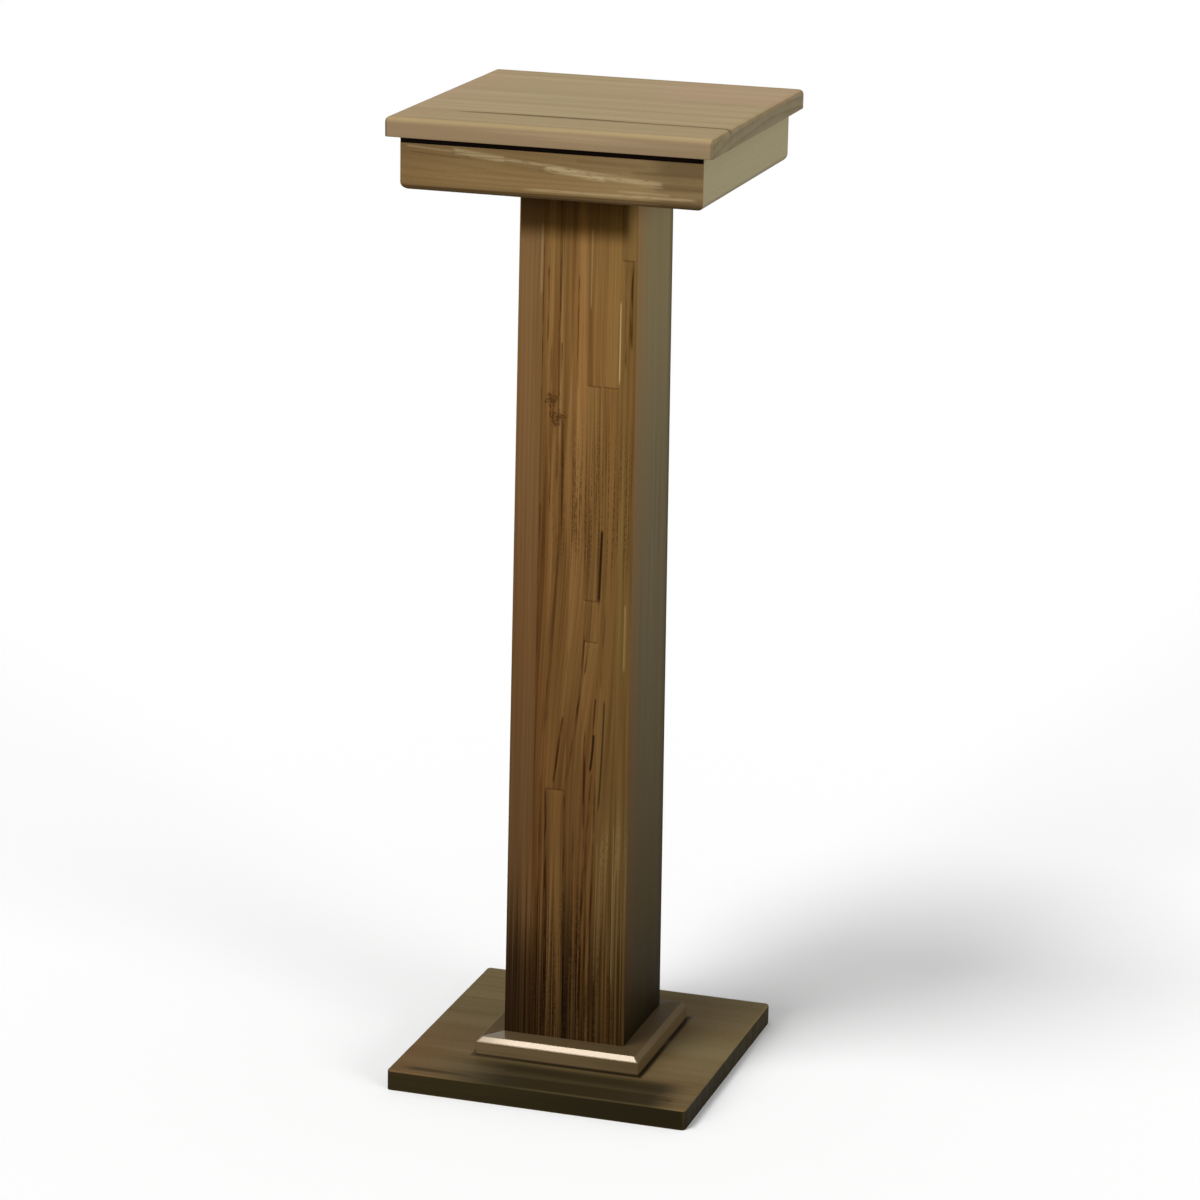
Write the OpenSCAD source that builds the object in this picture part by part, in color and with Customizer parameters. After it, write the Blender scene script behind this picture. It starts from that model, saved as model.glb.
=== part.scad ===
// Wooden pedestal stand: a square, slightly tapered shaft on a flat base board,
// with a mitred moulding round its foot and a mitred apron under its top board.
// Millimetres, +Z up. The origin is the middle of the underside, on the floor.
// The front, with the shadow line under the top board, faces -Y.

/* [Whole stand] */
// Height from the floor to the top face
total_h = 915; // [500:5:1300]

/* [Base board] */
// Width and depth of the base board
base_w = 290; // [200:1:420]
// Thickness of the base board
base_t = 20; // [10:0.5:40]
// Radius of its four upright corners
base_corner_r = 4; // [1:0.5:10]
// Radius of its eased upper edge
base_edge_r = 2; // [0.5:0.5:6]

/* [Shaft] */
// Width of the shaft on the base board
shaft_foot_w = 118; // [80:1:145]
// Width of the shaft under the top board
shaft_head_w = 110; // [80:1:145]

/* [Foot moulding] */
// How far the moulding stands out from the shaft
moulding_run = 21; // [14:0.5:26]
// Height of the moulding where it meets the shaft
moulding_h = 19; // [18:0.5:36]
// Height of its plain outer face
moulding_face_h = 13; // [6:0.5:14]
// Width and height of the bevel above that face
moulding_bevel = 4.5; // [2:0.5:5.5]

/* [Apron] */
// How far the apron stands back from the edge of the top board
apron_inset = 11; // [2:0.5:24]
// Height of the apron boards
apron_h = 48; // [30:1:90]
// Thickness of the apron boards
apron_t = 18; // [12:0.5:24]
// Radius of the lower outer edge of the apron boards
apron_edge_r = 7; // [2:0.5:10]
// Radius of the apron's four upright corners
apron_corner_r = 1.5; // [0.5:0.5:4]
// Height of the shadow line cut along the top of the front board
shadow_h = 6; // [2:0.5:10]
// Depth of that shadow line
shadow_d = 5; // [2:0.5:8]

/* [Top board] */
// Width and depth of the top board
top_w = 300; // [240:1:420]
// Thickness of the top board
top_t = 18; // [10:0.5:40]
// Radius of its four upright corners
top_corner_r = 3; // [1:0.5:10]
// Radius of its rounded upper edge
top_edge_r = 5; // [1:0.5:8]

/* [Hidden] */
$fn = 64;

// Levels, from the floor up
shaft_z = base_t;
top_z = total_h - top_t;
apron_z = top_z - apron_h;
shaft_h = top_z - shaft_z;

// Outer size of the apron and of the foot moulding, in plan
apron_w = top_w - 2 * apron_inset;
moulding_w = shaft_foot_w + 2 * moulding_run;

// Quarter turns that carry the front piece to each side
FRONT = 0;
RIGHT = 90;
BACK = 180;
LEFT = 270;

// Colours of the stained wood
BASE_BROWN = [0.36, 0.30, 0.18];
SHAFT_BROWN = [0.44, 0.33, 0.18];
MOULDING_BROWN = [0.38, 0.34, 0.24];
APRON_BROWN = [0.50, 0.43, 0.29];
TOP_BROWN = [0.62, 0.54, 0.41];

// A square with round corners, centred
module round_square(w, r) {
    square([w - 2 * r, w], center = true);
    square([w, w - 2 * r], center = true);
    for (x = [-1, 1], y = [-1, 1])
        translate([x * (w / 2 - r), y * (w / 2 - r)])
            circle(r);
}

// Side view of a board: square below, its two upper corners rounded
module board_side(w, t, r) {
    translate([-w / 2, 0])
        square([w, t - r]);
    translate([r - w / 2, 0])
        square([w - 2 * r, t]);
    for (x = [-1, 1])
        translate([x * (w / 2 - r), t - r])
            circle(r);
}

// A flat shape seen along Y, drawn out over a length w centred on the origin
module along_y(w) {
    rotate([90, 0, 0])
        linear_extrude(height = w, center = true)
            children();
}

// A square board with round upright corners and an eased upper edge all round
module eased_board(w, t, corner_r, edge_r) {
    intersection() {
        linear_extrude(height = t)
            round_square(w, corner_r);
        along_y(w)
            board_side(w, t, edge_r);
        rotate([0, 0, 90])
            along_y(w)
                board_side(w, t, edge_r);
    }
}

// Side view of the tapered shaft
module shaft_side() {
    polygon([
        [-shaft_foot_w / 2, 0],
        [shaft_foot_w / 2, 0],
        [shaft_head_w / 2, shaft_h],
        [-shaft_head_w / 2, shaft_h]
    ]);
}

// The shaft tapers alike on all four faces
module tapered_shaft() {
    long = 2 * max(shaft_foot_w, shaft_head_w);
    translate([0, 0, shaft_z])
        intersection() {
            along_y(long)
                shaft_side();
            rotate([0, 0, 90])
                along_y(long)
                    shaft_side();
        }
}

// One side of a mitred frame: the child's section, drawn along the front with its
// outer face at y = -w / 2, cut at 45 degrees at both ends, and turned to its side.
// In the section, x runs outwards from the middle of the stand and y runs up.
module mitred_side(w, turn) {
    rotate([0, 0, turn])
        intersection() {
            rotate([0, 0, -90])
                along_y(w)
                    children();
            translate([0, 0, -1])
                linear_extrude(height = total_h + 2)
                    polygon([[0, 0], [-w / 2, -w / 2], [w / 2, -w / 2]]);
        }
}

// Section of the foot moulding: plain face, bevel, then a shoulder up to the shaft
module moulding_section() {
    shaft_x = shaft_foot_w / 2;
    outer_x = moulding_w / 2;
    inner_x = shaft_x - moulding_run / 2;
    polygon([
        [inner_x, 0],
        [outer_x, 0],
        [outer_x, moulding_face_h],
        [outer_x - moulding_bevel, moulding_face_h + moulding_bevel],
        [shaft_x, moulding_h],
        [inner_x, moulding_h]
    ]);
}

// A length of moulding stands on the base board and is scribed to the shaft
module foot_moulding(turn) {
    difference() {
        translate([0, 0, shaft_z])
            mitred_side(moulding_w, turn)
                moulding_section();
        tapered_shaft();
    }
}

// Section of an apron board, with its lower outer edge rounded over
module apron_section() {
    outer_x = apron_w / 2;
    inner_x = outer_x - apron_t;
    translate([inner_x, apron_edge_r])
        square([apron_t, apron_h - apron_edge_r]);
    translate([inner_x, 0])
        square([apron_t - apron_edge_r, apron_h]);
    translate([outer_x - apron_edge_r, apron_edge_r])
        circle(apron_edge_r);
}

// An apron board hangs under the top board
module apron_board(turn) {
    intersection() {
        translate([0, 0, apron_z])
            mitred_side(apron_w, turn)
                apron_section();
        translate([0, 0, apron_z])
            linear_extrude(height = apron_h)
                round_square(apron_w, apron_corner_r);
    }
}

// The cut that leaves a dark line between the front board and the top board
module shadow_line() {
    translate([-top_w / 2, -apron_w / 2 - shadow_d, top_z - shadow_h])
        cube([top_w, 2 * shadow_d, 2 * shadow_h]);
}

// Base board, flat on the floor
module base_board() {
    color(BASE_BROWN)
        eased_board(base_w, base_t, base_corner_r, base_edge_r);
}

// Shaft, from the base board to the underside of the top board
module shaft() {
    color(SHAFT_BROWN)
        tapered_shaft();
}

// Four mitred lengths of moulding round the foot of the shaft
module moulding_front() {
    color(MOULDING_BROWN)
        foot_moulding(FRONT);
}

module moulding_right() {
    color(MOULDING_BROWN)
        foot_moulding(RIGHT);
}

module moulding_back() {
    color(MOULDING_BROWN)
        foot_moulding(BACK);
}

module moulding_left() {
    color(MOULDING_BROWN)
        foot_moulding(LEFT);
}

// Four mitred apron boards under the top; only the front one has the shadow line
module apron_front() {
    color(APRON_BROWN)
        difference() {
            apron_board(FRONT);
            shadow_line();
        }
}

module apron_right() {
    color(APRON_BROWN)
        apron_board(RIGHT);
}

module apron_back() {
    color(APRON_BROWN)
        apron_board(BACK);
}

module apron_left() {
    color(APRON_BROWN)
        apron_board(LEFT);
}

// Top board, flat above for what the stand carries
module top_board() {
    color(TOP_BROWN)
        translate([0, 0, top_z])
            eased_board(top_w, top_t, top_corner_r, top_edge_r);
}

base_board();
shaft();
moulding_front();
moulding_right();
moulding_back();
moulding_left();
apron_front();
apron_right();
apron_back();
apron_left();
top_board();
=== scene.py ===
"""A tall wooden pedestal stand, put together from its base board up to its top board."""
import math
from collections import namedtuple

import bmesh
import bpy
import numpy as np
from mathutils import Matrix, Vector, noise


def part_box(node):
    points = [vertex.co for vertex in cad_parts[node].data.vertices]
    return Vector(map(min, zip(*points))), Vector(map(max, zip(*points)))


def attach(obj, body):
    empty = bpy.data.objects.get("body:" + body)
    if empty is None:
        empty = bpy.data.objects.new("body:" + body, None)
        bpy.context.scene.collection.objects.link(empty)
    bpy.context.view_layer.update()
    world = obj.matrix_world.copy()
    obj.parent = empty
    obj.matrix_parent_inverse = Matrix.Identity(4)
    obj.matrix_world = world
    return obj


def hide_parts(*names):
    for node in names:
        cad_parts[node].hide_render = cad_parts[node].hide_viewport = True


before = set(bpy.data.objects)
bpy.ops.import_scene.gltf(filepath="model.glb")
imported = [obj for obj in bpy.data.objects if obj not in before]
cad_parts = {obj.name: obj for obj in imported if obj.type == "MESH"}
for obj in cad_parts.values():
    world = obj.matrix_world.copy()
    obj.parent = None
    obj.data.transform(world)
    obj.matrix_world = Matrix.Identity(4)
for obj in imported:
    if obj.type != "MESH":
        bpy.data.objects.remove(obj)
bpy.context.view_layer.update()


# ------------------------------------------------------------------ base board
# The base board is one flat square of wood that lies on the floor. Its upper edge
# is eased with a plane. It is stained a dark olive-brown under a thin satin varnish;
# its upright edges are darker with painted shade, and painted shadow lies on it in
# front of the moulding. The shaft and the foot moulding are glued down on it.
MM = 0.001
BASE_CORNER = 4 * MM
BASE_ARRIS = 2 * MM


def shade(red, green, blue):
    """A stain written as it looks, 0 to 255, turned into the linear colour a shader takes."""
    channels = [c / 255 for c in (red, green, blue)]
    linear = [c / 12.92 if c <= 0.04045 else ((c + 0.055) / 1.055) ** 2.4 for c in channels]
    return (*linear, 1.0)


def square_ring(half, corner, z, side_steps=36, corner_steps=5):
    """Points round a square with round corners, anticlockwise from the front left."""
    flat = half - corner
    ring = []
    for turn in range(4):
        quarter = Matrix.Rotation(math.radians(90 * turn), 3, "Z")
        for i in range(side_steps):
            ring.append(quarter @ Vector((flat * (2 * i / side_steps - 1), -half, z)))
        for i in range(corner_steps):
            angle = math.radians(90) * i / corner_steps
            x = flat + corner * math.sin(angle)
            y = -flat - corner * math.cos(angle)
            ring.append(quarter @ Vector((x, y, z)))
    return ring


def skin(name, rings):
    """A closed mesh through rings of equal length, with one flat face on each end."""
    count = len(rings[0])
    points = [point for ring in rings for point in ring]
    faces = [tuple(reversed(range(count)))]
    for start in range(0, len(points) - count, count):
        for i in range(count):
            j = (i + 1) % count
            faces.append((start + i, start + j, start + count + j, start + count + i))
    faces.append(tuple(range(len(points) - count, len(points))))
    mesh = bpy.data.meshes.new(name)
    mesh.from_pydata(points, [], faces)
    return mesh


def board_profile(thickness, arris, lower_arris=0.6 * MM):
    """How far in from its edge, and how high, each ring of a board lies, from below to above."""
    flat_insets = [120 * MM, 80 * MM, 45 * MM, 20 * MM, 8 * MM, 3 * MM]
    profile = [(inset, 0.0) for inset in flat_insets]
    for i in range(4):
        angle = math.radians(90) * i / 3
        inset = lower_arris * (1 - math.sin(angle))
        profile.append((inset, lower_arris * (1 - math.cos(angle))))
    upright = thickness - arris - lower_arris
    profile += [(0.0, lower_arris + upright * i / 6) for i in range(1, 6)]
    for i in range(8):
        angle = math.radians(90) * i / 7
        inset = arris * (1 - math.cos(angle))
        profile.append((inset, thickness - arris * (1 - math.sin(angle))))
    profile += [(arris + inset, thickness) for inset in reversed(flat_insets)]
    return profile


def hand_worn(point, depth):
    """Pull a point on a board's rim in by up to depth, as planing and handling leave it."""
    pull = depth * max(0.0, noise.noise(point * 35) + 0.5 * noise.noise(point * 110))
    return Vector((point.x * (1 - pull / 0.15), point.y * (1 - pull / 0.15), point.z))


def store(mesh, name, kind, domain, values):
    """Keep one value for each point, or each corner of a face, on the mesh."""
    layer = mesh.attributes.new(name, kind, domain)
    field = {"FLOAT": "value", "FLOAT_VECTOR": "vector", "FLOAT_COLOR": "color"}[kind]
    layer.data.foreach_set(field, np.array(values, dtype=np.float32).ravel())


def mark_surface(mesh):
    """Store how upright each point's surface is, how far it cuts the fibres, and its arrises."""
    normals = np.empty(len(mesh.vertices) * 3, dtype=np.float32)
    mesh.vertex_normals.foreach_get("vector", normals)
    normals = np.abs(normals.reshape(-1, 3))
    squareness_of_a_mitred_arris = 0.29
    edge = (1 - normals.max(axis=1)) / squareness_of_a_mitred_arris
    store(mesh, "upright", "FLOAT", "POINT", 1 - normals[:, 2])
    store(mesh, "end", "FLOAT", "POINT", normals[:, 0])
    store(mesh, "edge", "FLOAT", "POINT", np.clip(edge, 0, 1))


def finish_piece(mesh, node, material):
    """Give a piece its finish and put it in place of the plain solid of the same name."""
    mesh.shade_smooth()
    mesh.set_sharp_from_angle(angle=math.radians(40))
    mesh.materials.clear()
    mesh.materials.append(material)
    piece = bpy.data.objects.new(node + "_wood", mesh)
    bpy.context.scene.collection.objects.link(piece)
    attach(piece, "root")
    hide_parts(node)
    return piece


def square_board(node, corner, arris, wear):
    """A square board that fills its box, with round corners and an eased upper edge."""
    low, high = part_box(node)
    half = (high[0] - low[0]) / 2
    rings = []
    for inset, level in board_profile(high[2] - low[2], arris):
        ring = square_ring(half - inset, max(corner - inset, MM), low[2] + level)
        on_rim = level > 0 and inset < 2 * arris
        rings.append([hand_worn(point, wear) if on_rim else point for point in ring])
    mesh = skin(node + "_wood", rings)
    mark_surface(mesh)
    return mesh


def add(tree, kind, inputs=None, **settings):
    """Add a node, choose its settings, and fill its sockets with numbers or wires."""
    node = tree.nodes.new(kind)
    for name, value in settings.items():
        setattr(node, name, value)
    for name, value in (inputs or {}).items():
        if isinstance(value, bpy.types.NodeSocket):
            tree.links.new(value, node.inputs[name])
        else:
            node.inputs[name].default_value = value
    return node


def calc(tree, operation, *values):
    """One sum on numbers."""
    return add(tree, "ShaderNodeMath", dict(enumerate(values)), operation=operation).outputs[0]


def times(tree, first, *others):
    """Numbers multiplied together."""
    product = first
    for other in others:
        product = calc(tree, "MULTIPLY", product, other)
    return product


def span(tree, value, low, high, to_low=0.0, to_high=1.0):
    """A smooth change from to_low to to_high while value goes from low to high."""
    inputs = {"Value": value, "From Min": low, "From Max": high, "To Min": to_low, "To Max": to_high}
    return add(tree, "ShaderNodeMapRange", inputs, interpolation_type="SMOOTHSTEP").outputs[0]


def tint(tree, share, first, second, way="MIX"):
    """Two colours mixed, or laid one on the other."""
    inputs = {0: share, 6: first, 7: second}
    return add(tree, "ShaderNodeMix", inputs, data_type="RGBA", blend_type=way).outputs[2]


def cloud(tree, place, per_metre, detail=2.0):
    """Soft noise, with its own number of features per metre along, across and into the wood."""
    scaled = add(tree, "ShaderNodeVectorMath", {0: place, 1: per_metre}, operation="MULTIPLY")
    inputs = {"Vector": scaled.outputs[0], "Scale": 1.0, "Detail": detail}
    return add(tree, "ShaderNodeTexNoise", inputs).outputs[0]


def mark(tree, name):
    """A value that was stored on the mesh."""
    return add(tree, "ShaderNodeAttribute", attribute_name=name)


def make_wood_figure():
    """The figure that all the wood shares: growth rings, fibres, streaks, pores and patches."""
    tree = bpy.data.node_groups.new("Wood figure", "ShaderNodeTree")
    tree.interface.new_socket("Grain", in_out="INPUT", socket_type="NodeSocketVector")
    for name in ("Rings per metre", "Wander"):
        tree.interface.new_socket(name, in_out="INPUT", socket_type="NodeSocketFloat")
    for name in ("Ring", "Fibre", "Streak", "Pore", "Patch"):
        tree.interface.new_socket(name, in_out="OUTPUT", socket_type="NodeSocketFloat")
    given = tree.nodes.new("NodeGroupInput").outputs
    made = tree.nodes.new("NodeGroupOutput").inputs
    grain = given["Grain"]

    # The heart of the tree lies below the board; the rings circle it and wander along it
    wide = calc(tree, "SUBTRACT", cloud(tree, grain, (1.1, 7, 7), 1.0), 0.5)
    close = calc(tree, "SUBTRACT", cloud(tree, grain, (3.5, 34, 34), 1.0), 0.5)
    drift = times(tree, calc(tree, "MULTIPLY_ADD", close, 0.22, wide), given["Wander"])
    parts = add(tree, "ShaderNodeSeparateXYZ", {0: grain}).outputs
    across = calc(tree, "ADD", calc(tree, "SUBTRACT", parts[1], 0.03), drift)
    into = calc(tree, "ADD", parts[2], 0.11)
    squares = calc(tree, "MULTIPLY_ADD", across, across, times(tree, into, into))
    turns = times(tree, calc(tree, "SQRT", squares), given["Rings per metre"])
    year = calc(tree, "FRACT", turns)
    late_wood = times(tree, span(tree, year, 0.25, 0.9), span(tree, year, 1.0, 0.93))
    tree.links.new(late_wood, made["Ring"])

    tree.links.new(span(tree, cloud(tree, grain, (6, 430, 430), 4.0), 0.3, 0.7), made["Fibre"])
    tree.links.new(span(tree, cloud(tree, grain, (1.7, 75, 75), 3.0), 0.32, 0.68), made["Streak"])
    tree.links.new(span(tree, cloud(tree, grain, (3, 14, 14), 2.0), 0.3, 0.7), made["Patch"])
    pitch = add(tree, "ShaderNodeVectorMath", {0: grain, 1: (170, 760, 760)}, operation="MULTIPLY")
    cells = add(tree, "ShaderNodeTexVoronoi", {"Vector": pitch.outputs[0], "Scale": 1.0})
    tree.links.new(span(tree, cells.outputs["Distance"], 0.3, 0.1), made["Pore"])
    return tree


WOOD_FIGURE = make_wood_figure()


def new_wood(name, rings, wander, grain=None):
    """Start a wood material, and lay the figure through it."""
    material = bpy.data.materials.new(name)
    material.use_nodes = True
    tree = material.node_tree
    tree.nodes.clear()
    place = add(tree, "ShaderNodeTexCoord").outputs["Object"]
    fibres = mark(tree, grain).outputs["Vector"] if grain else place
    inputs = {"Grain": fibres, "Rings per metre": rings, "Wander": wander}
    figure = add(tree, "ShaderNodeGroup", inputs, node_tree=WOOD_FIGURE)
    return material, tree, place, figure.outputs


def grain_share(tree, figure, rings, fibres, streaks):
    """How dark the figure is at each place, from 0 to 1."""
    share = times(tree, figure["Ring"], rings)
    share = calc(tree, "MULTIPLY_ADD", figure["Fibre"], fibres, share)
    return calc(tree, "MULTIPLY_ADD", figure["Streak"], streaks, share)


# How rough the varnish is over close grain and over open grain
SATIN = (0.5, 0.7)
CLEAR = (1.0, 1.0, 1.0, 1.0)


def varnish(tree, colour, height, relief, gloss=0.03, rough=SATIN, sheen=CLEAR):
    """Close a wood material: stained wood with its open grain, under a thin varnish."""
    bump = add(tree, "ShaderNodeBump", {"Strength": 0.8, "Distance": relief, "Height": height})
    inputs = {"Base Color": colour, "Roughness": span(tree, height, 0.0, 1.0, rough[1], rough[0]),
              "Specular IOR Level": gloss, "Specular Tint": sheen, "Normal": bump.outputs[0]}
    shader = add(tree, "ShaderNodeBsdfPrincipled", inputs)
    add(tree, "ShaderNodeOutputMaterial", {"Surface": shader.outputs[0]})


def make_streak():
    """One streak that runs from one place to another, fading at both ends."""
    tree = bpy.data.node_groups.new("Streak", "ShaderNodeTree")
    names = ("Along", "Across", "From along", "From across", "To along", "To across", "Width", "Bow")
    for name in names:
        tree.interface.new_socket(name, in_out="INPUT", socket_type="NodeSocketFloat")
    tree.interface.new_socket("Streak", in_out="OUTPUT", socket_type="NodeSocketFloat")
    given = tree.nodes.new("NodeGroupInput").outputs
    made = tree.nodes.new("NodeGroupOutput").inputs
    length = calc(tree, "SUBTRACT", given["To along"], given["From along"])
    gone = calc(tree, "DIVIDE", calc(tree, "SUBTRACT", given["Along"], given["From along"]), length)
    shift = calc(tree, "SUBTRACT", given["To across"], given["From across"])
    middle = calc(tree, "MULTIPLY_ADD", gone, shift, given["From across"])
    hump = times(tree, gone, calc(tree, "SUBTRACT", 1.0, gone), 4.0)
    middle = calc(tree, "MULTIPLY_ADD", hump, given["Bow"], middle)
    away = calc(tree, "ABSOLUTE", calc(tree, "SUBTRACT", given["Across"], middle))
    body = span(tree, calc(tree, "DIVIDE", away, given["Width"]), 1.0, 0.25)
    ends = times(tree, span(tree, gone, 0.0, 0.12), span(tree, gone, 1.0, 0.93))
    tree.links.new(times(tree, body, ends), made["Streak"])
    return tree


STREAK = make_streak()


def streaks(tree, along, across, runs):
    """All the streaks of a face. Each is where it starts and ends, its width, bow and strength."""
    together = None
    for from_along, from_across, to_along, to_across, width, bow, strength in runs:
        inputs = {"Along": along, "Across": across,
                  "From along": from_along * MM, "From across": from_across * MM,
                  "To along": to_along * MM, "To across": to_across * MM,
                  "Width": width * MM, "Bow": bow * MM}
        one = add(tree, "ShaderNodeGroup", inputs, node_tree=STREAK)
        mask = times(tree, one.outputs[0], strength)
        together = mask if together is None else calc(tree, "MAXIMUM", together, mask)
    return together


# Painted shadow: dark streaks in front of the moulding, in millimetres from the middle of the board
BASE_SHADOW_STREAKS = (
    (-60, -108, 124, -111, 6, 0, 1.0),
    (-140, -133, 60, -131, 6, 0, 0.8),
    (10, -126, 132, -127, 4, 0, 0.9),
)
# Painted shade: a dark line on the board round the foot of the moulding
PAINTED_SHADE_LINE = 6 * MM


def base_stain():
    material, tree, place, figure = new_wood("Dark olive-brown stain", 150, 0.08)
    x, y, z = add(tree, "ShaderNodeSeparateXYZ", {0: place}).outputs
    share = grain_share(tree, figure, 0.1, 0.2, 0.34)
    colour = tint(tree, share, shade(110, 95, 63), shade(90, 76, 48))
    patch = figure["Patch"]
    reddish = times(tree, span(tree, x, 0.02, 0.11), span(tree, patch, 0.25, 0.9, 0.0, 0.6))
    left_side = times(tree, span(tree, x, -0.05, -0.13), span(tree, y, 0.05, -0.08))
    reddish = calc(tree, "MAXIMUM", reddish, left_side)
    colour = tint(tree, times(tree, reddish, 0.65), colour, shade(98, 70, 41))
    pale_right = times(tree, span(tree, x, 0.06, 0.12, 0.0, 0.5), span(tree, y, -0.1, -0.03))
    colour = tint(tree, pale_right, colour, shade(122, 107, 72))

    # The painted shadow in front of the moulding, and the painted shade line round it, are on the upper
    # face only
    on_top = span(tree, z, 0.012, 0.018)
    uneven = span(tree, figure["Streak"], -1.5, 0.5, 0.0, 0.95)
    painted_shadow_in_front = times(tree, span(tree, x, -0.125, -0.03), span(tree, x, 0.14, 0.105), uneven)
    painted_shadow_in_front = times(tree, painted_shadow_in_front, span(tree, y, -0.078, -0.098))
    dark = calc(tree, "MAXIMUM", painted_shadow_in_front, times(tree, streaks(tree, x, y, BASE_SHADOW_STREAKS), 0.9))
    colour = tint(tree, times(tree, dark, on_top), colour, shade(42, 34, 18))
    from_middle = calc(tree, "MAXIMUM", calc(tree, "ABSOLUTE", x), calc(tree, "ABSOLUTE", y))
    moulding_low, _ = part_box("moulding_front")
    moulding_foot = -moulding_low[1]
    # Painted shade: a dark line where the moulding meets the board
    painted_shade = span(tree, from_middle, moulding_foot + PAINTED_SHADE_LINE, moulding_foot + PAINTED_SHADE_LINE / 3)
    painted_shade = times(tree, painted_shade, span(tree, patch, -0.6, 0.5), on_top, 0.9)
    colour = tint(tree, painted_shade, colour, shade(22, 14, 4))
    # Painted shade: the upright edges of the board are darker than its top, most of all towards the front
    # right
    side = span(tree, mark(tree, "upright").outputs["Fac"], 0.55, 0.95)
    towards_front_right = span(tree, calc(tree, "SUBTRACT", x, y), 0.0, 0.28)
    side_stain = tint(tree, towards_front_right, shade(48, 40, 21), shade(34, 28, 13))
    side_stain = tint(tree, times(tree, share, 0.5), side_stain, shade(28, 23, 12))
    colour = tint(tree, side, colour, side_stain)
    worn = times(tree, mark(tree, "edge").outputs["Fac"], span(tree, patch, 0.4, 0.8), 0.3)
    colour = tint(tree, worn, colour, shade(104, 90, 58))
    colour = tint(tree, times(tree, figure["Pore"], 0.25), colour, shade(40, 32, 20))
    height = calc(tree, "SUBTRACT", 0.9, calc(tree, "MULTIPLY_ADD", figure["Pore"], 0.4, share))
    varnish(tree, colour, height, relief=0.15 * MM)
    return material


base_board = square_board("base_board", BASE_CORNER, BASE_ARRIS, 0.25 * MM)
finish_piece(base_board, "base_board", base_stain())


# ----------------------------------------------------------------------- shaft
# The shaft is a square post, glued up from upright staves that are butted end to end,
# and planed to a slight taper. It darkens towards its foot, partly as stain and partly
# as painted shade. The front, with two burrs and some drying checks, and the back show
# their grain; the sides are plain and greyer.
SHAFT_ARRIS = 1.2 * MM
TAPER_EACH_SIDE = 4 * MM
SEAM_DEPTH = 0.2 * MM
BUTT_DEPTH = 0.2 * MM
SEAM_REACH = 0.5 * MM

# A stave has a share of the width, a strength of figure, a tint, and the heights in
# millimetres at which its lengths are butted
Stave = namedtuple("Stave", "width figure tint butts")

GOLDEN = shade(163, 129, 76)
FRONT_STAVES = (
    Stave(24, 0.45, shade(142, 111, 71), ()),
    Stave(12, 1.0, shade(158, 121, 71), ()),
    Stave(20, 1.0, shade(166, 129, 76), (283,)),
    Stave(15, 1.0, shade(163, 126, 74), ()),
    Stave(15, 1.0, shade(165, 128, 75), (428, 467, 667)),
    Stave(18, 0.9, shade(155, 122, 70), (667,)),
    Stave(14, 0.8, shade(147, 117, 67), (784,)),
)
BACK_STAVES = (
    Stave(30, 0.9, GOLDEN, (520,)),
    Stave(22, 1.0, shade(147, 115, 66), (300, 720)),
    Stave(26, 0.9, shade(160, 126, 73), (590,)),
    Stave(18, 1.0, GOLDEN, (410,)),
    Stave(22, 0.6, shade(142, 112, 66), ()),
)
SIDE_STAVES = (Stave(1, 0.3, shade(126, 111, 74), ()),)
SHAFT_FACES = (FRONT_STAVES, SIDE_STAVES, BACK_STAVES, SIDE_STAVES)


def seam_places(staves):
    """Where the seams lie across a face, from -1 at its left to 1 at its right."""
    widths = np.cumsum([stave.width for stave in staves])
    return [2 * width / widths[-1] - 1 for width in widths[:-1]]


def with_seams(start, end, step, seams, reach):
    """Evenly spread places from start to end, with three close ones at each seam."""
    places = set(np.linspace(start, end, round((end - start) / step) + 1))
    for seam in seams:
        places = {place for place in places if abs(place - seam) > 1.6 * reach}
        places |= {seam - reach, seam, seam + reach}
    return sorted(places)


def sweep(across, height):
    """How far the fibres lean left, going down past the middle of the front."""
    fall = min(max((0.53 - height) / 0.28, 0.0), 1.0)
    return 0.018 * fall * fall * (3 - 2 * fall) * math.exp(-((across / 0.04) ** 2))


def tapered_shaft():
    low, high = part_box("shaft")
    foot_half = (high[0] - low[0]) / 2
    seams = [seam_places(staves) for staves in SHAFT_FACES]
    reach = SEAM_REACH / foot_half
    columns = [with_seams(-1, 1, 1.7 * MM / foot_half, places, reach) for places in seams]
    butts = sorted({butt * MM for staves in SHAFT_FACES for stave in staves for butt in stave.butts})
    levels = with_seams(low[2], high[2], 6.5 * MM, butts, SEAM_REACH)
    arc_steps = 3

    rings = []
    for level in levels:
        half = foot_half - TAPER_EACH_SIDE * (level - low[2]) / (high[2] - low[2])
        flat = half - SHAFT_ARRIS
        ring = []
        for turn in range(4):
            quarter = Matrix.Rotation(math.radians(90 * turn), 3, "Z")
            for place in columns[turn][:-1]:
                depth = planed(turn, place * flat, level) + seam_depth(turn, place, level, seams[turn])
                ring.append(quarter @ Vector((place * flat, depth - half, level)))
            for i in range(arc_steps):
                angle = math.radians(90) * i / arc_steps
                x = flat + SHAFT_ARRIS * math.sin(angle)
                y = -flat - SHAFT_ARRIS * math.cos(angle)
                ring.append(quarter @ Vector((x, y, level)))
        rings.append(ring)
    mesh = skin("shaft_wood", rings)
    mark_surface(mesh)
    mark_staves(mesh, levels, columns, seams, foot_half, arc_steps)
    return mesh


def planed(turn, across, level):
    """The slight hollows that hand planing leaves, as a depth below the flat."""
    place = Vector((across * 30, level * 6, turn * 9.0))
    return 0.18 * MM * max(0.0, noise.noise(place))


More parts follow.
